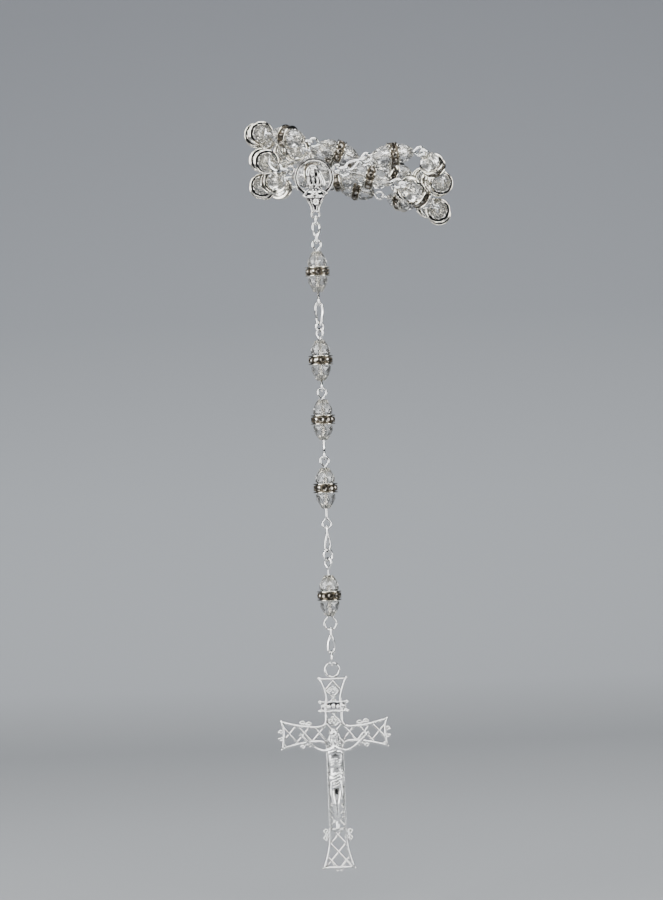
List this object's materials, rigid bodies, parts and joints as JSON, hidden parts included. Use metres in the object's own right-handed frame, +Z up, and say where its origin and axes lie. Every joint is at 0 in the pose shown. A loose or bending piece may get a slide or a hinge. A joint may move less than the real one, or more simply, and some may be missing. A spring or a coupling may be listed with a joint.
{
  "type": "rosary",
  "caption": "Rosary of clear faceted glass beads with rhinestone rondelles on silver wire links, wound in a hand-sized coil, with a centre medal and a hanging openwork crucifix.",
  "frame": {"origin": "inside the wound loop, just behind its front turns, where the palm of the hand that holds it would be", "axes": "+Z up, against the hanging pendant; +X to the right as seen from the medal's face; -Y to the front, where the medal and the crucifix face"},
  "size_m": [0.0535, 0.1058, 0.1912],
  "materials": {
    "wire": "bright silver-plated wire",
    "casting": "silver-plated casting, darkened in its recesses",
    "crystal": "clear cut glass",
    "rondelle": "silver-plated ring set with small clear rhinestones",
    "loop_beads": "clear cut glass with a silver-plated rondelle"
  },
  "bodies": {
    "loop": {"loop_ring_1": "wire", "loop_link_1": "wire", "decade_1": "loop_beads", "loop_link_2": "wire", "loop_ring_2": "wire", "father_bead_1": "loop_beads", "loop_link_3": "wire", "loop_ring_3": "wire", "decade_2": "loop_beads", "loop_link_4": "wire", "loop_ring_4": "wire", "father_bead_2": "loop_beads", "loop_link_5": "wire", "loop_ring_5": "wire", "decade_3": "loop_beads", "loop_link_6": "wire", "loop_ring_6": "wire", "father_bead_3": "loop_beads", "loop_link_7": "wire", "loop_ring_7": "wire", "decade_4": "loop_beads", "loop_link_8": "wire", "loop_ring_8": "wire", "father_bead_4": "loop_beads", "loop_link_9": "wire", "loop_ring_9": "wire", "decade_5": "loop_beads", "loop_link_10": "wire", "loop_ring_10": "wire"},
    "medal": {"centre_medal": "casting"},
    "medal_drop_ring": {"medal_drop_ring": "wire"},
    "long_link_1": {"long_link_1": "wire"},
    "bead_1_pin": {"bead_1_eye_pin": "wire"},
    "long_link_2": {"long_link_2": "wire"},
    "small_ring_1": {"small_ring_1": "wire"},
    "bead_2_pin": {"bead_2_eye_pin": "wire"},
    "bead_3_pin": {"bead_3_eye_pin": "wire"},
    "bead_4_pin": {"bead_4_eye_pin": "wire"},
    "long_link_3": {"long_link_3": "wire"},
    "small_ring_2": {"small_ring_2": "wire"},
    "bead_5_pin": {"bead_5_eye_pin": "wire"},
    "long_link_4": {"long_link_4": "wire"},
    "crucifix_ring": {"crucifix_ring": "wire"},
    "crucifix": {"crucifix_frame": "casting", "corpus": "casting"},
    "bead_1_stack": {"bead_1_upper_crystal": "crystal", "bead_1_rondelle": "rondelle", "bead_1_lower_crystal": "crystal"},
    "bead_2_stack": {"bead_2_upper_crystal": "crystal", "bead_2_rondelle": "rondelle", "bead_2_lower_crystal": "crystal"},
    "bead_3_stack": {"bead_3_upper_crystal": "crystal", "bead_3_rondelle": "rondelle", "bead_3_lower_crystal": "crystal"},
    "bead_4_stack": {"bead_4_upper_crystal": "crystal", "bead_4_rondelle": "rondelle", "bead_4_lower_crystal": "crystal"},
    "bead_5_stack": {"bead_5_upper_crystal": "crystal", "bead_5_rondelle": "rondelle", "bead_5_lower_crystal": "crystal"}
  },
  "joints": [
    {"name": "medal_swing", "type": "hinge", "parent": "loop", "child": "medal", "pos_m": [-0.0089, -0.025, -0.0006], "axis": [-1, 0, 0], "range_deg": [-8, 35]},
    {"name": "medal_drop_ring_swing", "type": "hinge", "parent": "medal", "child": "medal_drop_ring", "pos_m": [-0.0089, -0.025, -0.0127], "axis": [1, 0, 0], "range_deg": [-40, 40]},
    {"name": "long_link_1_swing", "type": "hinge", "parent": "medal_drop_ring", "child": "long_link_1", "pos_m": [-0.0089, -0.025, -0.01432], "axis": [0, 1, 0], "range_deg": [-40, 40]},
    {"name": "bead_1_pin_swing", "type": "hinge", "parent": "long_link_1", "child": "bead_1_pin", "pos_m": [-0.0089, -0.025, -0.01874], "axis": [0, -1, 0], "range_deg": [-40, 40]},
    {"name": "long_link_2_swing", "type": "hinge", "parent": "bead_1_pin", "child": "long_link_2", "pos_m": [-0.0089, -0.025, -0.03404], "axis": [0, 1, 0], "range_deg": [-40, 40]},
    {"name": "small_ring_1_swing", "type": "hinge", "parent": "long_link_2", "child": "small_ring_1", "pos_m": [-0.0089, -0.025, -0.03876], "axis": [0.7071, -0.7071, 0], "range_deg": [-40, 40]},
    {"name": "bead_2_pin_swing", "type": "hinge", "parent": "small_ring_1", "child": "bead_2_pin", "pos_m": [-0.0089, -0.025, -0.04048], "axis": [-0.7071, -0.7071, 0], "range_deg": [-40, 40]},
    {"name": "bead_3_pin_swing", "type": "hinge", "parent": "bead_2_pin", "child": "bead_3_pin", "pos_m": [-0.0089, -0.025, -0.05508], "axis": [0, 1, 0], "range_deg": [-40, 40]},
    {"name": "bead_4_pin_swing", "type": "hinge", "parent": "bead_3_pin", "child": "bead_4_pin", "pos_m": [-0.0089, -0.025, -0.07188], "axis": [0, -1, 0], "range_deg": [-40, 40]},
    {"name": "long_link_3_swing", "type": "hinge", "parent": "bead_4_pin", "child": "long_link_3", "pos_m": [-0.0089, -0.025, -0.0889], "axis": [-1, 0, 0], "range_deg": [-40, 40]},
    {"name": "small_ring_2_swing", "type": "hinge", "parent": "long_link_3", "child": "small_ring_2", "pos_m": [-0.0089, -0.025, -0.09462], "axis": [-0.7071, 0.7071, 0], "range_deg": [-40, 40]},
    {"name": "bead_5_pin_swing", "type": "hinge", "parent": "small_ring_2", "child": "bead_5_pin", "pos_m": [-0.0089, -0.025, -0.09684], "axis": [0.7071, 0.7071, 0], "range_deg": [-40, 40]},
    {"name": "long_link_4_swing", "type": "hinge", "parent": "bead_5_pin", "child": "long_link_4", "pos_m": [-0.0089, -0.025, -0.1138], "axis": [1, 0, 0], "range_deg": [-40, 40]},
    {"name": "crucifix_ring_swing", "type": "hinge", "parent": "long_link_4", "child": "crucifix_ring", "pos_m": [-0.0089, -0.025, -0.11962], "axis": [-1, 0, 0], "range_deg": [-40, 40]},
    {"name": "crucifix_swing", "type": "hinge", "parent": "crucifix_ring", "child": "crucifix", "pos_m": [-0.0089, -0.025, -0.12254], "axis": [0, -1, 0], "range_deg": [-40, 40]},
    {"name": "bead_1_spin", "type": "hinge", "parent": "bead_1_pin", "child": "bead_1_stack", "pos_m": [-0.0089, -0.025, -0.02576], "axis": [0, 0, 1], "continuous": true},
    {"name": "bead_2_spin", "type": "hinge", "parent": "bead_2_pin", "child": "bead_2_stack", "pos_m": [-0.0089, -0.025, -0.0475], "axis": [0, 0, 1], "continuous": true},
    {"name": "bead_3_spin", "type": "hinge", "parent": "bead_3_pin", "child": "bead_3_stack", "pos_m": [-0.0089, -0.025, -0.0621], "axis": [0, 0, 1], "continuous": true},
    {"name": "bead_4_spin", "type": "hinge", "parent": "bead_4_pin", "child": "bead_4_stack", "pos_m": [-0.0089, -0.025, -0.0789], "axis": [0, 0, 1], "continuous": true},
    {"name": "bead_5_spin", "type": "hinge", "parent": "bead_5_pin", "child": "bead_5_stack", "pos_m": [-0.0089, -0.025, -0.1053], "axis": [0, 0, 1], "continuous": true}
  ]
}
